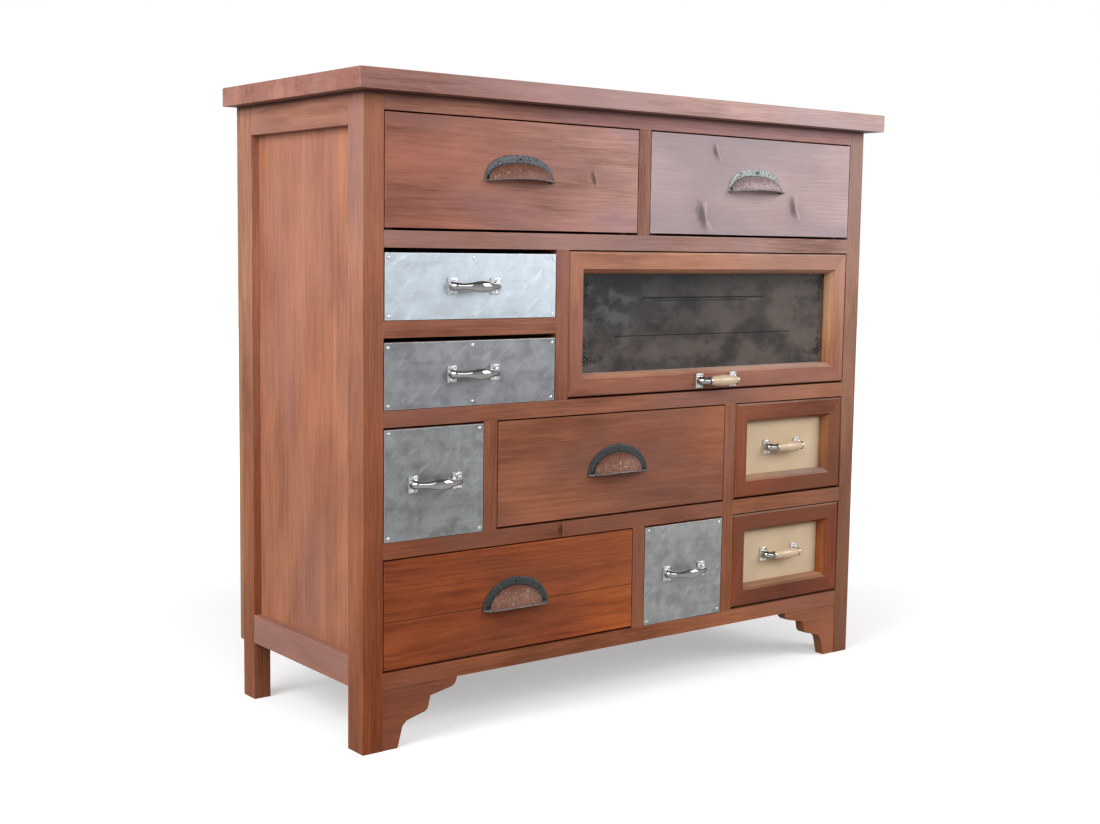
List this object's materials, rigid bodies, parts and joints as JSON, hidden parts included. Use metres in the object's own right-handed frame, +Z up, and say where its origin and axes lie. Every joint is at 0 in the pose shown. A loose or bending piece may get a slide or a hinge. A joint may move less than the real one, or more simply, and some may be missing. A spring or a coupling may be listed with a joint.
{
  "type": "multi-drawer chest",
  "caption": "Free-standing wooden chest with rows of sliding drawers in mixed sizes, some faced in zinc or framed cloth, and a glazed flap that lifts on pivot pins.",
  "frame": {"origin": "on the floor, under the middle of the top board's outline", "axes": "+X to the right seen from the front, +Y towards the back, +Z up; the fronts face -Y"},
  "size_m": [0.968, 0.38, 0.876],
  "materials": {
    "stained_wood": "satin red-brown stain over visible softwood grain",
    "plain_wood": "matt, thinly stained softwood and plywood",
    "zinc": "dull spangled zinc sheet",
    "dark_iron": "blackened, with a rust-brown pattern on the dome",
    "bright_chrome": "polished",
    "cream_grip": "smooth, cream, bone-like",
    "linen": "plain beige weave, glued flat on a board",
    "smoked_glass": "grey tinted, cloudy",
    "pin_steel": "bright steel"
  },
  "bodies": {
    "carcass": {"back_panel": "plain_wood", "bottom_rail": "stained_wood", "compartment_boards": "plain_wood", "drawer_runners": "plain_wood", "front_brackets": "stained_wood", "front_dividers": "stained_wood", "front_left_post": "stained_wood", "front_right_post": "stained_wood", "front_top_rail": "stained_wood", "left_side_panel": "stained_wood", "lower_rail": "stained_wood", "middle_rail": "stained_wood", "rear_left_post": "stained_wood", "rear_rails": "plain_wood", "rear_right_post": "stained_wood", "right_side_panel": "stained_wood", "short_rails": "stained_wood", "side_rails": "stained_wood", "top_board": "stained_wood", "upper_rail": "stained_wood"},
    "top_left_drawer": {"top_left_drawer_box": "plain_wood", "top_left_drawer_front": "stained_wood", "top_left_drawer_pull": "dark_iron"},
    "top_right_drawer": {"top_right_drawer_box": "plain_wood", "top_right_drawer_front": "stained_wood", "top_right_drawer_pull": "dark_iron"},
    "upper_zinc_drawer": {"upper_zinc_drawer_box": "plain_wood", "upper_zinc_drawer_pull": "bright_chrome", "upper_zinc_drawer_sheet": "zinc"},
    "lower_zinc_drawer": {"lower_zinc_drawer_box": "plain_wood", "lower_zinc_drawer_pull": "bright_chrome", "lower_zinc_drawer_sheet": "zinc"},
    "square_zinc_drawer": {"square_zinc_drawer_box": "plain_wood", "square_zinc_drawer_pull": "bright_chrome", "square_zinc_drawer_sheet": "zinc"},
    "middle_drawer": {"middle_drawer_box": "plain_wood", "middle_drawer_front": "stained_wood", "middle_drawer_pull": "dark_iron"},
    "upper_framed_drawer": {"upper_framed_drawer_box": "plain_wood", "upper_framed_drawer_frame": "stained_wood", "upper_framed_drawer_grip": "cream_grip", "upper_framed_drawer_panel": "linen", "upper_framed_drawer_pull": "bright_chrome"},
    "bottom_drawer": {"bottom_drawer_box": "plain_wood", "bottom_drawer_front": "stained_wood", "bottom_drawer_pull": "dark_iron"},
    "bottom_zinc_drawer": {"bottom_zinc_drawer_box": "plain_wood", "bottom_zinc_drawer_pull": "bright_chrome", "bottom_zinc_drawer_sheet": "zinc"},
    "lower_framed_drawer": {"lower_framed_drawer_box": "plain_wood", "lower_framed_drawer_frame": "stained_wood", "lower_framed_drawer_grip": "cream_grip", "lower_framed_drawer_panel": "linen", "lower_framed_drawer_pull": "bright_chrome"},
    "flap": {"flap_beads": "stained_wood", "flap_frame": "stained_wood", "flap_glass": "smoked_glass", "flap_grip": "cream_grip", "flap_pins": "pin_steel", "flap_pull": "bright_chrome"}
  },
  "joints": [
    {"name": "top_left_drawer_slide", "type": "slide", "parent": "carcass", "child": "top_left_drawer", "axis": [0, -1, 0], "range_m": [0, 0.24]},
    {"name": "top_right_drawer_slide", "type": "slide", "parent": "carcass", "child": "top_right_drawer", "axis": [0, -1, 0], "range_m": [0, 0.24]},
    {"name": "upper_zinc_drawer_slide", "type": "slide", "parent": "carcass", "child": "upper_zinc_drawer", "axis": [0, -1, 0], "range_m": [0, 0.24]},
    {"name": "lower_zinc_drawer_slide", "type": "slide", "parent": "carcass", "child": "lower_zinc_drawer", "axis": [0, -1, 0], "range_m": [0, 0.24]},
    {"name": "square_zinc_drawer_slide", "type": "slide", "parent": "carcass", "child": "square_zinc_drawer", "axis": [0, -1, 0], "range_m": [0, 0.24]},
    {"name": "middle_drawer_slide", "type": "slide", "parent": "carcass", "child": "middle_drawer", "axis": [0, -1, 0], "range_m": [0, 0.24]},
    {"name": "upper_framed_drawer_slide", "type": "slide", "parent": "carcass", "child": "upper_framed_drawer", "axis": [0, -1, 0], "range_m": [0, 0.24]},
    {"name": "bottom_drawer_slide", "type": "slide", "parent": "carcass", "child": "bottom_drawer", "axis": [0, -1, 0], "range_m": [0, 0.24]},
    {"name": "bottom_zinc_drawer_slide", "type": "slide", "parent": "carcass", "child": "bottom_zinc_drawer", "axis": [0, -1, 0], "range_m": [0, 0.24]},
    {"name": "lower_framed_drawer_slide", "type": "slide", "parent": "carcass", "child": "lower_framed_drawer", "axis": [0, -1, 0], "range_m": [0, 0.24]},
    {"name": "flap_hinge", "type": "hinge", "parent": "carcass", "child": "flap", "pos_m": [0.1495, -0.159, 0.642], "axis": [-1, 0, 0], "range_deg": [0, 90]}
  ]
}
